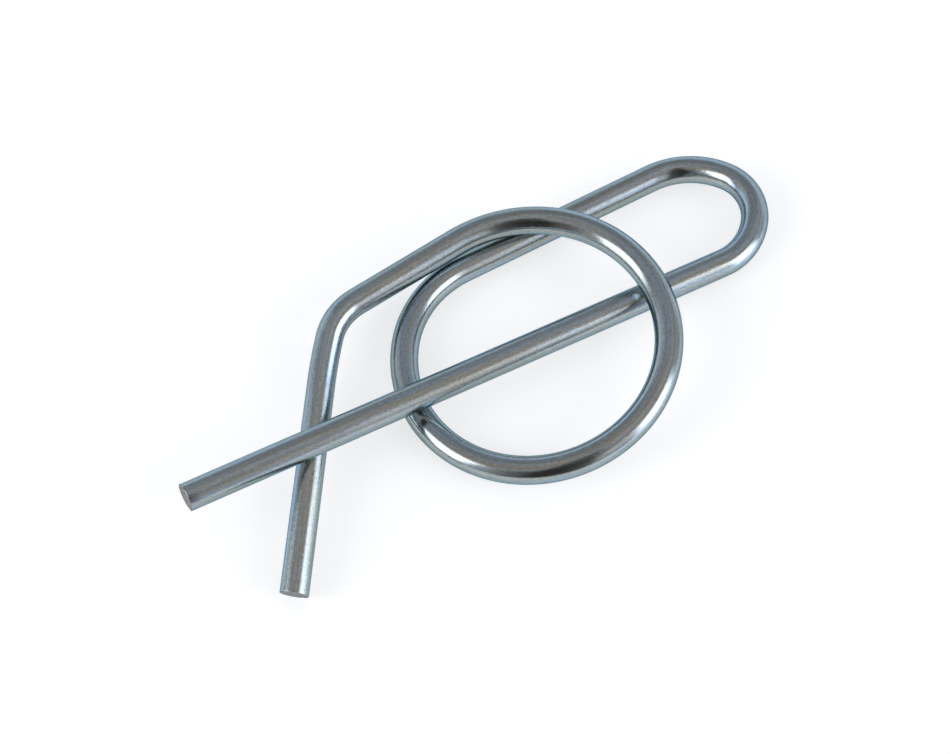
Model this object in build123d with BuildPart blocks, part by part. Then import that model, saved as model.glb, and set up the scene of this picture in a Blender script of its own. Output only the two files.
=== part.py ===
from build123d import *
from math import asin, atan2, cos, pi, radians, sin, sqrt, tan
import os

os.makedirs("parts", exist_ok=True)

# Lock pin: one length of round spring-steel wire, bent cold and zinc plated.
# From its free end the arm runs to the eye, a half turn that sends the wire back
# along a straight to the ring. The ring goes once round, over the straight, and
# leaves on a shoulder that bends down into the leg. The arm springs over the leg,
# over the ring's near side and under its far side, so it is locked in the ring.

# Wire. Where it passes over itself the two runs are one gap apart. Each end is sheared
# a little aslant and its rim is rounded; the two leans of a cut are about the axis
# across the wire and about the axis up through it.
wire_diameter = 5.0
crossing_gap = 0.35
end_round = 0.4
arm_cut_leans = (3.0, -4.0)
leg_cut_leans = (-8.0, 5.0)

# Feeds and bends along the wire, in the order they are made. The eye is tightest round
# its top. The ring is led in on a radius one step tighter than its own and led out on
# one a step wider, and the leg leaves its bend with a slight bow.
arm_length = 104.6
eye_in_radius = 11.5
eye_in_turn = 53.0
eye_top_radius = 9.1
eye_top_turn = 70.5
eye_out_radius = 14.6
straight_length = 38.8
lead_in_step = 4.0
lead_in_turn = 54.7
ring_radius = 23.5
ring_turn = 196.2
lead_out_step = 1.0
lead_out_turn = 113.0
shoulder_length = 20.8
shoulder_radius = 10.2
shoulder_turn = 48.3
bow_radius = 103.0
bow_turn = 5.3
leg_length = 38.4


def tangent_length(radius, turn):
    """Length from the start of a bend to the corner that it rounds, for a turn in degrees."""
    return radius * tan(radians(turn) / 2)


# Plan of the bends, seen along the ring's axis, with the ring's centre at 0, 0
# and the arm along X.
half_turn = 180.0
eye_out_turn = half_turn - eye_in_turn - eye_top_turn
top_start = radians(eye_in_turn)
top_end = radians(eye_in_turn + eye_top_turn)
eye_width = (
    eye_in_radius * (1 - cos(top_start))
    + eye_top_radius * (cos(top_start) - cos(top_end))
    + eye_out_radius * (cos(top_end) + 1)
)
eye_reach = (
    eye_in_radius * sin(top_start)
    + eye_top_radius * (sin(top_end) - sin(top_start))
    - eye_out_radius * sin(top_end)
)
lead_in_radius = ring_radius - lead_in_step
lead_out_radius = ring_radius + lead_out_step
lead_in_end = pi / 2 + radians(lead_in_turn)
ring_end = lead_in_end + radians(ring_turn)
lead_out_end = ring_end + radians(lead_out_turn)
straight_y = lead_in_radius + lead_in_step * cos(radians(lead_in_turn))
straight_end_x = -lead_in_step * sin(radians(lead_in_turn))
eye_x = straight_end_x + straight_length - eye_reach
arm_y = straight_y - eye_width
half_chord = sqrt(ring_radius**2 - arm_y**2)
lead_out_x = -lead_out_step * cos(ring_end)
lead_out_y = -lead_out_step * sin(ring_end)

# Where the ring comes back over the straight: it crosses at cross_x, and above
# the straight's end it lies outside it by over_offset.
cross_x = lead_out_x + sqrt(lead_out_radius**2 - (straight_y - lead_out_y) ** 2)
over_x = straight_end_x - lead_out_x
over_y = sqrt(lead_out_radius**2 - over_x**2)
over_offset = lead_out_y + over_y - straight_y
over_angle = 2 * pi + atan2(over_y, over_x)

# Heights of the centre line. Where the wire passes over itself the two runs are
# one lift apart, and the slopes below follow from the four crossings.
lift = wire_diameter + crossing_gap
over_height = sqrt(lift**2 - over_offset**2)
slope_step = (lift - over_height) / (cross_x - straight_end_x)
lead_in_tangent = tangent_length(lead_in_radius, lead_in_turn)
turned_length = (
    lead_in_radius * radians(lead_in_turn)
    + ring_radius * radians(ring_turn)
    + lead_out_radius * (over_angle - ring_end)
)
ring_slope = (over_height - slope_step * lead_in_tangent) / turned_length
straight_slope = ring_slope + slope_step

# Arm: one lift above the ring's near side and one lift below its far side
ring_start_height = lead_in_tangent * (straight_slope + ring_slope)
near_angle = pi - asin(arm_y / ring_radius)
far_angle = 2 * pi + asin(arm_y / ring_radius)
near_height = ring_start_height + ring_slope * ring_radius * (near_angle - lead_in_end)
far_height = ring_start_height + ring_slope * ring_radius * (far_angle - lead_in_end)
arm_slope = (far_height - near_height - 2 * lift) / (2 * half_chord)

# Eye: its top joins the arm's height to the straight's
arm_end_height = near_height + lift + arm_slope * (eye_x + half_chord)
eye_rise = -straight_slope * straight_length - arm_end_height
eye_in_tangent = tangent_length(eye_in_radius, eye_in_turn)
eye_top_tangent = tangent_length(eye_top_radius, eye_top_turn)
eye_out_tangent = tangent_length(eye_out_radius, eye_out_turn)
end_rise = arm_slope * eye_in_tangent + straight_slope * eye_out_tangent
eye_slope = (eye_rise - end_rise) / (eye_in_tangent + 2 * eye_top_tangent + eye_out_tangent)

# Leg: it leaves the shoulder and passes one lift below the arm
shoulder_heading = lead_out_end + pi / 2
bow_heading = shoulder_heading + radians(shoulder_turn)
leg_heading = bow_heading + radians(bow_turn)
shoulder_tangent = tangent_length(shoulder_radius, shoulder_turn)
corner_run = shoulder_length + shoulder_tangent
bow_run = shoulder_tangent + tangent_length(bow_radius, bow_turn)
corner_x = lead_out_x + lead_out_radius * cos(lead_out_end) + corner_run * cos(shoulder_heading)
corner_y = lead_out_y + lead_out_radius * sin(lead_out_end) + corner_run * sin(shoulder_heading)
corner_height = (
    ring_start_height
    + ring_slope * ring_radius * radians(ring_turn)
    + ring_slope * lead_out_radius * radians(lead_out_turn)
    + ring_slope * corner_run
)
bow_x = corner_x + bow_run * cos(bow_heading)
bow_y = corner_y + bow_run * sin(bow_heading)
leg_cross_run = (arm_y - bow_y) / sin(leg_heading)
leg_cross_x = bow_x + leg_cross_run * cos(leg_heading)
leg_lift = lift * sqrt(1 + (arm_slope / sin(leg_heading)) ** 2)
arm_height_over_leg = near_height + lift + arm_slope * (leg_cross_x + half_chord)
leg_slope = (arm_height_over_leg - leg_lift - corner_height) / (bow_run + leg_cross_run)

# Number of equal arcs that make up each round of the ring, so that they follow
# its rise
lead_arcs = 2
ring_arcs = 6

# How finely the pin is settled on the surface that it lies on
bead_count = 600
settling_steps = 400
first_tip = 0.1


def heading(plan_angle, slope):
    """Direction of the wire from its plan angle in degrees and its slope."""
    return Vector(cos(radians(plan_angle)), sin(radians(plan_angle)), slope).normalized()


def feed(before, length):
    """Straight run that carries on from the piece of wire before it."""
    return Line(before @ 1, before @ 1 + (before % 1) * length)


def bend(before, aim, radius):
    """Arc that turns the wire from the end of the piece before it to aim."""
    start = before @ 1
    ahead = before % 1
    turn = radians(ahead.get_angle(aim))
    inward = (aim - ahead * cos(turn)).normalized()
    end = start + ahead * (radius * sin(turn)) + inward * (radius * (1 - cos(turn)))
    return TangentArc(start, end, tangent=ahead)


def cut_plane(tip, outward, leans):
    """Plane of a sheared end, facing out of the wire."""
    square = Plane(origin=tip, x_dir=outward.cross(Vector(0, 0, 1)), z_dir=outward)
    return Plane(square.location * Rotation(leans[0], leans[1], 0))


# Centre line of the wire, with a spare piece at each end for the shears to cut off
spare = wire_diameter / 2
arm_tip = Vector(0, arm_y, 0)
arm_ahead = heading(0, arm_slope)
rounds = (
    (lead_in_radius, lead_in_turn, lead_arcs, straight_slope, ring_slope),
    (ring_radius, ring_turn, ring_arcs, ring_slope, ring_slope),
    (lead_out_radius, lead_out_turn, lead_arcs, ring_slope, ring_slope),
)
with BuildLine() as route:
    arm = Line(arm_tip - arm_ahead * spare, arm_tip + arm_ahead * arm_length)
    eye_in = bend(arm, heading(eye_in_turn, eye_slope), eye_in_radius)
    eye_top = bend(eye_in, heading(eye_in_turn + eye_top_turn, eye_slope), eye_top_radius)
    eye_out = bend(eye_top, heading(half_turn, straight_slope), eye_out_radius)
    straight = feed(eye_out, straight_length)

    wire_end = straight
    plan_angle = half_turn
    for radius, turn, arcs, slope_at_start, slope_at_end in rounds:
        for arc in range(1, arcs + 1):
            slope = slope_at_start + (slope_at_end - slope_at_start) * arc / arcs
            wire_end = bend(wire_end, heading(plan_angle + turn * arc / arcs, slope), radius)
        plan_angle += turn

    shoulder = feed(wire_end, shoulder_length)
    plan_angle += shoulder_turn
    corner = bend(shoulder, heading(plan_angle, leg_slope), shoulder_radius)
    bow = bend(corner, heading(plan_angle + bow_turn, leg_slope), bow_radius)
    leg = feed(bow, leg_length + spare)
leg_ahead = leg % 1
leg_tip = leg @ 1 - leg_ahead * spare
centre_line = route.wire()

# Lying free, the pin settles with its centre of mass as low as it can go: it tips
# away from the point that touches, by ever smaller steps
beads = [centre_line @ (step / bead_count) for step in range(bead_count + 1)]
centre_of_mass = centre_line.center(CenterOf.MASS)
up = Vector(0, 0, 1)
for step in range(1, settling_steps + 1):
    touching = min(beads, key=up.dot)
    lean = centre_of_mass - touching
    sideways = lean - up * lean.dot(up)
    up = (up - sideways.normalized() * (first_tip / step)).normalized()
rest = Plane(origin=centre_of_mass, x_dir=arm_ahead - up * arm_ahead.dot(up), z_dir=up)

with BuildPart() as lock_pin:
    with BuildSketch(Plane(origin=arm @ 0, z_dir=arm_ahead)):
        Circle(wire_diameter / 2)
    sweep(path=centre_line)

    for end in (
        cut_plane(arm_tip, arm_ahead * -1, arm_cut_leans),
        cut_plane(leg_tip, leg_ahead, leg_cut_leans),
    ):
        with BuildSketch(end):
            Circle(wire_diameter)
        extrude(amount=wire_diameter, mode=Mode.SUBTRACT)
    fillet(lock_pin.faces().filter_by(GeomType.PLANE).edges(), radius=end_round)

lock_pin.part.move(rest.location.inverse())
box = lock_pin.part.bounding_box()
lock_pin.part.move(Location((-box.center().X, -box.center().Y, -box.min.Z)))

lock_pin.part.label = "lock_pin"
export_step(lock_pin.part, "parts/lock_pin.step")
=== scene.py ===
import math

import bpy
from mathutils import Matrix, Vector
from mathutils.kdtree import KDTree


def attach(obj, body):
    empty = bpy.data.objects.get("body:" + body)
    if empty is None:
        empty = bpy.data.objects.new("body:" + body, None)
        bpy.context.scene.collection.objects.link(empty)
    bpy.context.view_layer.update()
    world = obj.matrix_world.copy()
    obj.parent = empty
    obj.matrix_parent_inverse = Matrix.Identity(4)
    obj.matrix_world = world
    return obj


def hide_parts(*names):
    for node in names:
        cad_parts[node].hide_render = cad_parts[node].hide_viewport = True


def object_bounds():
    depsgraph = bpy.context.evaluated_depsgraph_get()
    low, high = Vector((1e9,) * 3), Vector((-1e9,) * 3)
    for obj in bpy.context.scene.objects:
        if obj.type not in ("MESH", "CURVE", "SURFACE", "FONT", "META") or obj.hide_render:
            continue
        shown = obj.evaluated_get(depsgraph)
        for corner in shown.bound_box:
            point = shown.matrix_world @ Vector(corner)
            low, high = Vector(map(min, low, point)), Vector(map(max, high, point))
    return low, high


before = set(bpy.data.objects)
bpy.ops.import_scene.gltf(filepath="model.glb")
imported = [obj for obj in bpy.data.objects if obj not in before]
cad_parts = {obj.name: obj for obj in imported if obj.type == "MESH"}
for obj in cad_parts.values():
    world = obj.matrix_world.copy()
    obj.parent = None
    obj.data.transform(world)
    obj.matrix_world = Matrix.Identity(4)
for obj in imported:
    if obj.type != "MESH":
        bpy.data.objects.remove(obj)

MM = 0.001
cad_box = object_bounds()

# Wire and its ends. Each end is sheared a little aslant: its two leans, in degrees, are about
# the axis across the wire and about the axis up through it. Its rim is rounded, and rolled
# over further where the blade pressed first. The smoother surface of a bend fades in and out
# over its run-out.
wire_diameter = 5.0 * MM
end_round = 0.4 * MM
arm_cut_leans = (3.0, -4.0)
leg_cut_leans = (-8.0, 5.0)
arm_end_rolled = 0.4 * MM
leg_end_rolled = 0.8 * MM
bend_run_out = 4.0 * MM

# The shine in the photograph shows that the real wire climbs and drops a little more than
# the pin does at rest here. Its shading leans along the wire by these angles: each pair is
# the length from the arm's tip in mm and the lean there in degrees.
surface_leans = (
    (0, -4), (26, -4), (32, 0), (108, 0), (114, 6), (119, 11), (132, 11), (138, 2), (142, -3),
    (190, -4), (204, 0), (294, 0), (300, -3), (330, -4), (346, -6), (350, -3), (356, 10), (410, 10),
)

# Feeds and bends along the wire, in the order they are made. The turns are in degrees.
arm_length = 104.6 * MM
eye_in_radius = 11.5 * MM
eye_in_turn = 53.0
eye_top_radius = 9.1 * MM
eye_top_turn = 70.5
eye_out_radius = 14.6 * MM
straight_length = 38.8 * MM
lead_in_step = 4.0 * MM
lead_in_turn = 54.7
ring_radius = 23.5 * MM
ring_turn = 196.2
lead_out_step = 1.0 * MM
lead_out_turn = 113.0
shoulder_length = 20.8 * MM
shoulder_radius = 10.2 * MM
shoulder_turn = 48.3
bow_radius = 103.0 * MM
bow_turn = 5.3
leg_length = 38.4 * MM

# Slopes of its runs, as rise over run, and the turns in degrees about Y and X that lay the
# pin down
arm_slope = -0.18631
eye_slope = 0.06192
straight_slope = 0.08705
ring_slope = 0.02619
leg_slope = -0.00235
rest_tilts = (-5.744, 0.042)

# How finely the wire is modelled. Its mesh is smooth up to the angle, in degrees.
lead_arcs = 2
ring_arcs = 6
wire_sides = 96
rim_steps = 6
face_inset = 0.04 * MM
feed_step = 3.0 * MM
bend_step = 0.45 * MM
station_step = 0.25 * MM
merge_distance = 0.001 * MM
smooth_angle = 35.0

# Camera, from the photograph. Its angles are in degrees, its lens and sensor in mm.
camera_aim = Vector((-4.48, -0.10, 4.05)) * MM
camera_azimuth = 249.23
camera_elevation = 61.36
camera_roll = -7.47
camera_distance = 351.4 * MM
camera_lens = 76.07
camera_sensor = 36.0
nearest_seen = 10.0 * MM


def linear(code):
    """Linear colour of an sRGB hex value such as 9aa4ad."""
    parts = [int(code[i:i + 2], 16) / 255 for i in (0, 2, 4)]
    return [c / 12.92 if c <= 0.04045 else ((c + 0.055) / 1.055) ** 2.4 for c in parts] + [1.0]


def add_node(tree, kind, settings=None, inputs=None):
    """A node with its settings, and a value or a link for each of the inputs given."""
    node = tree.nodes.new(kind)
    for name, value in (settings or {}).items():
        setattr(node, name, value)
    for name, value in (inputs or {}).items():
        if isinstance(value, bpy.types.NodeSocket):
            tree.links.new(value, node.inputs[name])
        else:
            node.inputs[name].default_value = value
    return node


# The wire, bent from end to end

def heading(plan_angle, slope):
    """Direction of the wire from its plan angle in degrees and its slope, as the pin lies."""
    turn = math.radians(plan_angle)
    return laid_down @ Vector((math.cos(turn), math.sin(turn), slope)).normalized()


class Bender:
    """Makes the wire from a ring of edges, which it feeds straight and bends. It keeps a
    station every little way: the point, the direction, a side that never twists round the
    wire, the length so far, and 1 in a bend or 0 in a straight run."""

    def __init__(self, ahead):
        self.point = Vector((0, 0, 0))
        self.ahead = ahead
        self.side = pin_up.cross(ahead).normalized()
        self.length = 0.0
        self.stations = []
        bpy.ops.object.select_all(action="DESELECT")
        bpy.ops.mesh.primitive_circle_add(
            vertices=wire_sides,
            radius=wire_diameter / 2,
            rotation=ahead.to_track_quat("Z", "Y").to_euler(),
        )
        self.piece = bpy.context.object
        bpy.ops.object.transform_apply()
        bpy.ops.object.mode_set(mode="EDIT")
        bpy.ops.mesh.select_all(action="SELECT")

    def feed(self, length):
        """Carries the wire on straight."""
        steps = math.ceil(length / feed_step)
        for step in range(steps):
            bpy.ops.mesh.extrude_region_move(
                TRANSFORM_OT_translate={"value": self.ahead * length / steps}
            )
        steps = math.ceil(length / station_step)
        for step in range(steps):
            done = length * step / steps
            self.stations.append(
                (self.point + self.ahead * done, self.ahead, self.side, self.length + done, 0)
            )
        self.point = self.point + self.ahead * length
        self.length += length

    def bend(self, aim, radius):
        """Turns the wire round an arc until it points along aim."""
        turn = self.ahead.angle(aim)
        inward = (aim - self.ahead * math.cos(turn)).normalized()
        axis = self.ahead.cross(inward)
        centre = self.point + inward * radius
        # Blender's spin turns the other way round its axis
        bpy.ops.mesh.spin(
            steps=math.ceil(turn * radius / bend_step), angle=-turn, center=centre, axis=axis
        )
        steps = math.ceil(turn * radius / station_step)
        for step in range(steps + 1):
            part = Matrix.Rotation(turn * step / steps, 3, axis)
            station = (
                centre + part @ (self.point - centre),
                part @ self.ahead,
                part @ self.side,
                self.length + turn * radius * step / steps,
                1,
            )
            self.stations.append(station)
        self.point, self.ahead, self.side, self.length = station[:4]


def bend_wire():
    """The whole wire, from the arm's free end to the leg's, with a spare at both ends."""
    half_turn = 180.0
    wire = Bender(heading(0, arm_slope))
    wire.feed(2 * spare)
    wire.feed(arm_length - spare)
    wire.bend(heading(eye_in_turn, eye_slope), eye_in_radius)
    wire.bend(heading(eye_in_turn + eye_top_turn, eye_slope), eye_top_radius)
    wire.bend(heading(half_turn, straight_slope), eye_out_radius)
    wire.feed(straight_length)

    plan_angle = half_turn
    for radius, turn, arcs, first_slope in (
        (ring_radius - lead_in_step, lead_in_turn, lead_arcs, straight_slope),
        (ring_radius, ring_turn, ring_arcs, ring_slope),
        (ring_radius + lead_out_step, lead_out_turn, lead_arcs, ring_slope),
    ):
        for arc in range(1, arcs + 1):
            slope = first_slope + (ring_slope - first_slope) * arc / arcs
            wire.bend(heading(plan_angle + turn * arc / arcs, slope), radius)
        plan_angle += turn

    wire.feed(shoulder_length)
    plan_angle += shoulder_turn
    wire.bend(heading(plan_angle, leg_slope), shoulder_radius)
    wire.bend(heading(plan_angle + bow_turn, leg_slope), bow_radius)
    wire.feed(leg_length - spare)
    wire.feed(2 * spare)

    bpy.ops.mesh.select_all(action="SELECT")
    bpy.ops.mesh.remove_doubles(threshold=merge_distance)
    bpy.ops.mesh.select_all(action="SELECT")
    bpy.ops.mesh.normals_make_consistent(inside=False)
    bpy.ops.object.mode_set(mode="OBJECT")
    return wire


def shear_end(piece, tip, outward, leans, rolled):
    """Shears the wire off at its tip, a little aslant. The rim is rounded, and the side
    that the blade pressed first is rolled over further."""
    across = outward.cross(pin_up).normalized()
    over = outward.cross(across)
    aslant = Matrix.Rotation(math.radians(leans[0]), 3, across)
    aslant = aslant @ Matrix.Rotation(math.radians(leans[1]), 3, over)
    for vertex in piece.data.vertices:
        vertex.select = (vertex.co - tip).length < wire_diameter
    bpy.ops.object.mode_set(mode="EDIT")
    bpy.ops.mesh.bisect(
        plane_co=tip, plane_no=aslant @ outward, use_fill=True, clear_outer=True
    )
    bpy.ops.object.mode_set(mode="OBJECT")

    weights = piece.data.attributes.get("bevel_weight_edge")
    if weights is None:
        weights = piece.data.attributes.new("bevel_weight_edge", "FLOAT", "EDGE")
    points = piece.data.vertices
    for edge in piece.data.edges:
        middle = (points[edge.vertices[0]].co + points[edge.vertices[1]].co) / 2 - tip
        weights.data[edge.index].value = 0.0
        if edge.select:
            pressed = max(0.0, middle.normalized().dot(across)) ** 2
            weights.data[edge.index].value = (end_round + (rolled - end_round) * pressed) / rolled
    rim = piece.modifiers.new("rim", "BEVEL")
    rim.limit_method = "WEIGHT"
    rim.width = rolled
    rim.segments = rim_steps
    bpy.ops.object.modifier_apply(modifier=rim.name)

    # The face keeps its own ring of points, so that it looks flat inside the round rim
    for face in piece.data.polygons:
        face.select = len(face.vertices) > rim_steps and (face.center - tip).length < spare
    bpy.ops.object.mode_set(mode="EDIT")
    bpy.ops.mesh.select_mode(type="FACE")
    bpy.ops.mesh.inset(thickness=face_inset)
    bpy.ops.mesh.select_mode(type="VERT")
    bpy.ops.object.mode_set(mode="OBJECT")


def lean_at(length):
    """Lean of the shading at a length along the wire in mm, as rise over run."""
    for (start, first), (end, last) in zip(surface_leans, surface_leans[1:]):
        if length <= end:
            part = max(0.0, (length - start) / (end - start))
            return math.tan(math.radians(first + (last - first) * part))
    return math.tan(math.radians(last))


def note_wire(piece, stations):
    """Notes at each point where it lay on the straight drawn wire, in mm: across it twice,
    then along it. Every pattern follows this, so it bends with the wire and has no seam.
    Notes too how far a point is into a bend, and the relief whose slope is the lean."""
    tree = KDTree(len(stations))
    for index, station in enumerate(stations):
        tree.insert(station[0], index)
    tree.balance()
    reach = round(bend_run_out / station_step)
    bends = []
    leans = []
    reliefs = []
    relief = 0.0
    before = stations[0][3] / MM
    for index, station in enumerate(stations):
        near = [other[4] for other in stations[max(0, index - reach):index + reach + 1]]
        bends.append(sum(near) / len(near))
        leans.append(lean_at((station[3] - spare) / MM))
        relief -= leans[-1] * (station[3] / MM - before)
        reliefs.append(relief)
        before = station[3] / MM
    for name, kind in (("drawn", "FLOAT_VECTOR"), ("bent", "FLOAT"), ("relief", "FLOAT")):
        piece.data.attributes.new(name, kind, "POINT")
    drawn = piece.data.attributes["drawn"]
    bent = piece.data.attributes["bent"]
    leaned = piece.data.attributes["relief"]
    for vertex in piece.data.vertices:
        index = tree.find(vertex.co)[1]
        point, ahead, side, length = stations[index][:4]
        away = (vertex.co - point) / MM
        along = away.dot(ahead)
        place = (away.dot(side), away.dot(ahead.cross(side)), length / MM + along)
        drawn.data[vertex.index].vector = place
        bent.data[vertex.index].value = bends[index]
        leaned.data[vertex.index].value = reliefs[index] - leans[index] * along


spare = wire_diameter / 2
laid_down = Matrix.Rotation(math.radians(rest_tilts[1]), 3, "X")
laid_down = laid_down @ Matrix.Rotation(math.radians(rest_tilts[0]), 3, "Y")
pin_up = laid_down @ Vector((0, 0, 1))

wire = bend_wire()
pin = wire.piece
pin.name = "bent_wire"
first_ahead = wire.stations[0][1]
shear_end(pin, first_ahead * spare, -first_ahead, arm_cut_leans, arm_end_rolled)
leg_tip = wire.point - wire.ahead * spare
shear_end(pin, leg_tip, wire.ahead, leg_cut_leans, leg_end_rolled)
note_wire(pin, wire.stations)

# The pin lies where the frame has it
corners = [pin.matrix_world @ Vector(corner) for corner in pin.bound_box]
low = Vector([min(corner[i] for corner in corners) for i in range(3)])
high = Vector([max(corner[i] for corner in corners) for i in range(3)])
cad_low, cad_high = (Vector(corner) for corner in cad_box)
place = (cad_low + cad_high) / 2 - (low + high) / 2
bpy.ops.object.select_all(action="DESELECT")
pin.select_set(True)
bpy.context.view_layer.objects.active = pin
bpy.ops.transform.translate(value=place)
bpy.ops.object.transform_apply()
bpy.ops.object.shade_smooth_by_angle(angle=math.radians(smooth_angle))


# Materials

def bright_zinc_plate():
    """Bright zinc plate under a thin clear film, on drawn steel wire. It gives the eye a
    soft mirror with a frosted grain and fine lines along the wire, smoother where the wire
    is bent. The film is tan where it faces the eye and turns blue as the surface turns away,
    so it is a warm metal under a blue coat, which tints the more the longer its path is."""
    material = bpy.data.materials.new("bright_zinc_plate")
    material.use_nodes = True
    tree = material.node_tree
    shader = tree.nodes["Principled BSDF"]
    drawn = add_node(tree, "ShaderNodeAttribute", {"attribute_name": "drawn"}).outputs["Vector"]
    bent = add_node(tree, "ShaderNodeAttribute", {"attribute_name": "bent"}).outputs["Fac"]
    lean = add_node(tree, "ShaderNodeAttribute", {"attribute_name": "relief"}).outputs["Fac"]

    # Each pattern's width and length on the wire in mm, and its detail. The real grain and
    # drawing lines are finer: these are as coarse as they need to be to show.
    pattern = {}
    for name, width, length, detail in (
        ("grain", 0.16, 0.6, 2.0),
        ("lines", 0.12, 7.0, 2.0),
        ("specks", 0.38, 0.8, 3.0),
        ("streaks", 0.8, 34.0, 2.0),
    ):
        place = add_node(
            tree, "ShaderNodeMapping",
            inputs={"Vector": drawn, "Scale": (1 / width, 1 / width, 1 / length)},
        ).outputs["Vector"]
        pattern[name] = add_node(
            tree, "ShaderNodeTexNoise",
            inputs={"Vector": place, "Scale": 1.0, "Detail": detail, "Roughness": 0.6},
        ).outputs["Fac"]

    # Colour: streaks and specks of the film, tan to lilac grey, then lighter and darker by
    # the share that goes with each pattern. A noise lies mostly between low and high.
    noise_low, noise_high = 0.3, 0.7
    speck_share = 0.25
    shade = add_node(
        tree, "ShaderNodeMath", {"operation": "MULTIPLY_ADD"},
        {0: pattern["specks"], 1: speck_share, 2: -speck_share / 2},
    ).outputs[0]
    shade = add_node(
        tree, "ShaderNodeMath", {"operation": "ADD"}, {0: shade, 1: pattern["streaks"]},
    ).outputs[0]
    film = add_node(tree, "ShaderNodeValToRGB", inputs={"Fac": shade})
    film.color_ramp.elements[0].position = 0.34
    film.color_ramp.elements[0].color = linear("dbb99f")
    film.color_ramp.elements[1].position = 0.64
    film.color_ramp.elements[1].color = linear("d0bcb6")
    middle = film.color_ramp.elements.new(0.5)
    middle.color = linear("d7baa8")
    light = 1.0
    for name, spread in (("grain", 0.19), ("streaks", 0.12), ("lines", 0.1)):
        part = add_node(
            tree, "ShaderNodeMapRange",
            inputs={"Value": pattern[name], "From Min": noise_low, "From Max": noise_high,
                    "To Min": 1 - spread, "To Max": 1 + spread},
        ).outputs["Result"]
        light = add_node(
            tree, "ShaderNodeMath", {"operation": "MULTIPLY"}, {0: light, 1: part},
        ).outputs[0]
    colour = add_node(
        tree, "ShaderNodeVectorMath", {"operation": "SCALE"},
        {0: film.outputs["Color"], "Scale": light},
    ).outputs["Vector"]
    tree.links.new(colour, shader.inputs["Base Color"])

    # Gloss: frosted on the straight runs, smoother in the bends, with duller specks
    straight_roughness = 0.22
    bent_roughness = 0.15
    gloss = add_node(
        tree, "ShaderNodeMapRange",
        inputs={"Value": bent, "From Min": 0.0, "From Max": 1.0,
                "To Min": straight_roughness, "To Max": bent_roughness},
    ).outputs["Result"]
    dull = add_node(
        tree, "ShaderNodeMapRange",
        inputs={"Value": pattern["specks"],
                "From Min": 0.35, "From Max": 0.65, "To Min": 0.9, "To Max": 1.3},
    ).outputs["Result"]
    roughness = add_node(
        tree, "ShaderNodeMath", {"operation": "MULTIPLY"}, {0: gloss, 1: dull},
    ).outputs[0]
    tree.links.new(roughness, shader.inputs["Roughness"])

    # Relief: the lean along the wire, the lines from drawing, then the grain, which is deeper
    # on the straight runs than in the bends
    line_depth = 0.0025 * MM
    straight_grain_depth = 0.012 * MM
    bent_grain_depth = 0.007 * MM
    leaned = add_node(
        tree, "ShaderNodeBump", inputs={"Height": lean, "Distance": MM},
    ).outputs["Normal"]
    lined = add_node(
        tree, "ShaderNodeBump",
        inputs={"Height": pattern["lines"], "Distance": line_depth, "Normal": leaned},
    ).outputs["Normal"]
    depth = add_node(
        tree, "ShaderNodeMapRange",
        inputs={"Value": bent, "From Min": 0.0, "From Max": 1.0,
                "To Min": straight_grain_depth, "To Max": bent_grain_depth},
    ).outputs["Result"]
    grained = add_node(
        tree, "ShaderNodeBump",
        inputs={"Height": pattern["grain"], "Distance": depth, "Normal": lined},
    ).outputs["Normal"]
    tree.links.new(grained, shader.inputs["Normal"])

    shader.inputs["Metallic"].default_value = 1.0
    shader.inputs["Coat Weight"].default_value = 1.0
    shader.inputs["Coat Roughness"].default_value = 0.2
    shader.inputs["Coat IOR"].default_value = 1.12
    shader.inputs["Coat Tint"].default_value = linear("caebff")
    shader.inputs["Specular Tint"].default_value = linear("6aa0a8")
    return material


def sheared_zinc_face():
    """Sheared steel, plated over. It gives the eye a matt grey face with darker drag marks
    from the blade."""
    material = bpy.data.materials.new("sheared_zinc_face")
    material.use_nodes = True
    tree = material.node_tree
    shader = tree.nodes["Principled BSDF"]
    drawn = add_node(tree, "ShaderNodeAttribute", {"attribute_name": "drawn"}).outputs["Vector"]

    # A drag mark's width and length on the face in mm, and its depth
    mark_width = 0.25
    mark_length = 1.6
    mark_depth = 0.03 * MM
    place = add_node(
        tree, "ShaderNodeMapping",
        inputs={"Vector": drawn, "Scale": (1 / mark_width, 1 / mark_length, 1 / mark_width)},
    ).outputs["Vector"]
    marks = add_node(
        tree, "ShaderNodeTexNoise",
        inputs={"Vector": place, "Scale": 1.0, "Detail": 3.0, "Roughness": 0.65},
    ).outputs["Fac"]
    grey = add_node(tree, "ShaderNodeValToRGB", inputs={"Fac": marks})
    grey.color_ramp.elements[0].position = 0.35
    grey.color_ramp.elements[0].color = linear("5c5a5a")
    grey.color_ramp.elements[1].position = 0.65
    grey.color_ramp.elements[1].color = linear("8f8b8a")
    tree.links.new(grey.outputs["Color"], shader.inputs["Base Color"])
    relief = add_node(
        tree, "ShaderNodeBump", inputs={"Height": marks, "Distance": mark_depth},
    ).outputs["Normal"]
    tree.links.new(relief, shader.inputs["Normal"])
    shader.inputs["Metallic"].default_value = 1.0
    shader.inputs["Roughness"].default_value = 0.5
    return material


pin.data.materials.append(bright_zinc_plate())
pin.data.materials.append(sheared_zinc_face())

# The two sheared faces are the only ones with so many corners
for face in pin.data.polygons:
    if len(face.vertices) > rim_steps:
        face.material_index = 1

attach(pin, "root")
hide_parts("lock_pin")


# Floor

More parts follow.
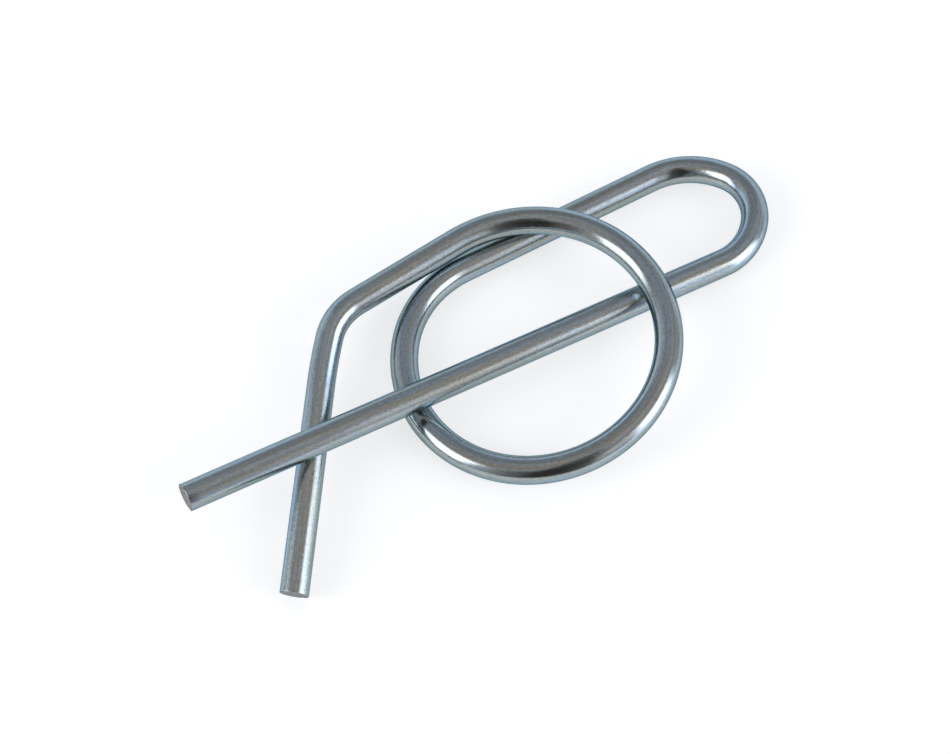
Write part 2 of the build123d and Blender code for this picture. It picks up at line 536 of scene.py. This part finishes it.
def white_board():
    """Smooth white board. Its own light is added for the camera and for what the metal
    mirrors, so that it is plain white and keeps a faint shadow."""
    material = bpy.data.materials.new("white_board")
    material.use_nodes = True
    tree = material.node_tree
    shader = tree.nodes["Principled BSDF"]
    shader.inputs["Base Color"].default_value = linear("cdcac8")
    shader.inputs["Roughness"].default_value = 0.4
    ray = add_node(tree, "ShaderNodeLightPath").outputs
    seen = add_node(
        tree, "ShaderNodeMath", {"operation": "ADD"},
        {0: ray["Is Camera Ray"], 1: ray["Is Glossy Ray"]},
    ).outputs[0]
    seen = add_node(
        tree, "ShaderNodeMath", {"operation": "ADD", "use_clamp": True},
        {0: seen, 1: ray["Is Transmission Ray"]},
    ).outputs[0]
    own = add_node(
        tree, "ShaderNodeMath", {"operation": "MULTIPLY"}, {0: seen, 1: plain_white},
    ).outputs[0]
    white = add_node(tree, "ShaderNodeEmission", inputs={"Strength": own}).outputs["Emission"]
    both = add_node(
        tree, "ShaderNodeAddShader", inputs={0: shader.outputs["BSDF"], 1: white},
    ).outputs["Shader"]
    tree.links.new(both, tree.nodes["Material Output"].inputs["Surface"])
    return material


plain_white = 0.62
floor_size = 6.0
bpy.ops.object.select_all(action="DESELECT")
bpy.ops.mesh.primitive_plane_add(size=floor_size)
floor = bpy.context.object
floor.name = "floor"
floor.data.materials.append(white_board())


# Studio: a dim room round the pin, with two white boxes, dimmer fills and dark cloths

# Each panel: the turn of its middle, half its width, its lowest and highest edge and how
# far its edges fade, all in degrees as seen from the pin, and the light that it adds.
# A cloth has the share of the light that it takes away instead.
white_panels = (
    (-44.0, 16.5, -4.0, 40.0, 8.0, 3.4),
    (171.0, 18.5, 5.0, 45.0, 6.0, 3.5),
    (-73.0, 15.0, 14.0, 44.0, 6.0, 0.3),
    (70.0, 68.0, -30.0, 19.0, 8.0, 0.48),
    (122.0, 14.0, 18.0, 50.0, 7.0, 0.3),
    (10.0, 28.0, 22.0, 60.0, 8.0, 0.14),
    (-50.0, 48.0, 56.0, 80.0, 8.0, 0.08),
)
dark_cloths = (
    (-114.5, 21.5, -30.0, 76.0, 4.0, 0.75),
    (-130.0, 22.0, -30.0, 52.0, 9.0, 0.6),
)

# The room's light by height: each pair is a height as a share of 90 degrees, and the light
# there
room_levels = (
    (0.0, 0.65), (0.17, 0.62), (0.28, 0.55), (0.4, 0.42), (0.6, 0.42), (0.8, 0.45), (1.0, 0.48),
)


def light_room():
    """The room as a world: its light by height, then panels added and cloths taken away."""
    room = bpy.data.worlds.new("studio")
    bpy.context.scene.world = room
    room.use_nodes = True
    tree = room.node_tree
    background = tree.nodes["Background"]
    direction = add_node(tree, "ShaderNodeTexCoord").outputs["Generated"]
    parts = add_node(tree, "ShaderNodeSeparateXYZ", inputs={"Vector": direction}).outputs
    turn = add_node(
        tree, "ShaderNodeMath", {"operation": "ARCTAN2"}, {0: parts["Y"], 1: parts["X"]},
    ).outputs[0]
    turn = add_node(tree, "ShaderNodeMath", {"operation": "DEGREES"}, {0: turn}).outputs[0]
    height = add_node(tree, "ShaderNodeMath", {"operation": "ARCSINE"}, {0: parts["Z"]}).outputs[0]
    height = add_node(tree, "ShaderNodeMath", {"operation": "DEGREES"}, {0: height}).outputs[0]

    def soft_panel(middle, half, low, high, edge):
        """1 inside a rectangle of the room, by turn and height in degrees, 0 outside."""
        off = add_node(
            tree, "ShaderNodeMath", {"operation": "SUBTRACT"}, {0: turn, 1: middle},
        ).outputs[0]
        off = add_node(
            tree, "ShaderNodeMath", {"operation": "WRAP"}, {0: off, 1: 180.0, 2: -180.0},
        ).outputs[0]
        up = add_node(
            tree, "ShaderNodeMath", {"operation": "SUBTRACT"}, {0: height, 1: (low + high) / 2},
        ).outputs[0]
        inside = []
        for distance, reach in ((off, half), (up, (high - low) / 2)):
            distance = add_node(
                tree, "ShaderNodeMath", {"operation": "ABSOLUTE"}, {0: distance},
            ).outputs[0]
            inside.append(add_node(
                tree, "ShaderNodeMapRange", {"interpolation_type": "SMOOTHSTEP"},
                {"Value": distance, "From Min": reach - edge, "From Max": reach + edge,
                 "To Min": 1.0, "To Max": 0.0},
            ).outputs["Result"])
        return add_node(
            tree, "ShaderNodeMath", {"operation": "MULTIPLY"}, {0: inside[0], 1: inside[1]},
        ).outputs[0]

    part = add_node(
        tree, "ShaderNodeMath", {"operation": "DIVIDE"}, {0: height, 1: 90.0},
    ).outputs[0]
    level = add_node(tree, "ShaderNodeFloatCurve", inputs={"Value": part})
    curve = level.mapping.curves[0]
    curve.points[0].location = room_levels[0]
    curve.points[1].location = room_levels[-1]
    for point in room_levels[1:-1]:
        curve.points.new(*point)
    level.mapping.update()
    light = level.outputs[0]
    for *place, strength in white_panels:
        light = add_node(
            tree, "ShaderNodeMath", {"operation": "MULTIPLY_ADD"},
            {0: soft_panel(*place), 1: strength, 2: light},
        ).outputs[0]
    for *place, depth in dark_cloths:
        shade = add_node(
            tree, "ShaderNodeMath", {"operation": "MULTIPLY_ADD"},
            {0: soft_panel(*place), 1: -depth, 2: 1.0},
        ).outputs[0]
        light = add_node(
            tree, "ShaderNodeMath", {"operation": "MULTIPLY"}, {0: light, 1: shade},
        ).outputs[0]
    tree.links.new(light, background.inputs["Strength"])

    # The light is neutral from high up in front and a little cooler from the room's sides
    neutral_side = (-0.17, -0.45, 0.88)
    toward = add_node(
        tree, "ShaderNodeVectorMath", {"operation": "DOT_PRODUCT"}, {0: direction, 1: neutral_side},
    ).outputs["Value"]
    cool = add_node(
        tree, "ShaderNodeMapRange", {"interpolation_type": "SMOOTHSTEP"},
        {"Value": toward, "From Min": 0.45, "From Max": 0.85, "To Min": 1.0, "To Max": 0.0},
    ).outputs["Result"]
    colour = add_node(
        tree, "ShaderNodeMix", {"data_type": "RGBA"},
        {"Factor": cool, 6: linear("ffffff"), 7: linear("e7f1ff")},
    ).outputs[2]
    tree.links.new(colour, background.inputs["Color"])


light_room()


# Camera

def set_camera():
    """The camera of the photograph, from the side and height that it looks from."""
    turn = math.radians(camera_azimuth)
    rise = math.radians(camera_elevation)
    out = Vector((math.cos(rise) * math.cos(turn), math.cos(rise) * math.sin(turn), math.sin(rise)))
    bpy.ops.object.camera_add(location=camera_aim + out * camera_distance)
    camera = bpy.context.object
    right = Vector((0, 0, 1)).cross(out).normalized()
    above = out.cross(right)
    level = Matrix((right, above, out)).transposed()
    roll = Matrix.Rotation(math.radians(camera_roll), 3, "Z")
    camera.rotation_euler = (level @ roll).to_euler()
    camera.data.lens = camera_lens
    camera.data.sensor_width = camera_sensor
    camera.data.clip_start = nearest_seen
    bpy.context.scene.camera = camera


set_camera()
bpy.context.scene.view_settings.view_transform = "Standard"
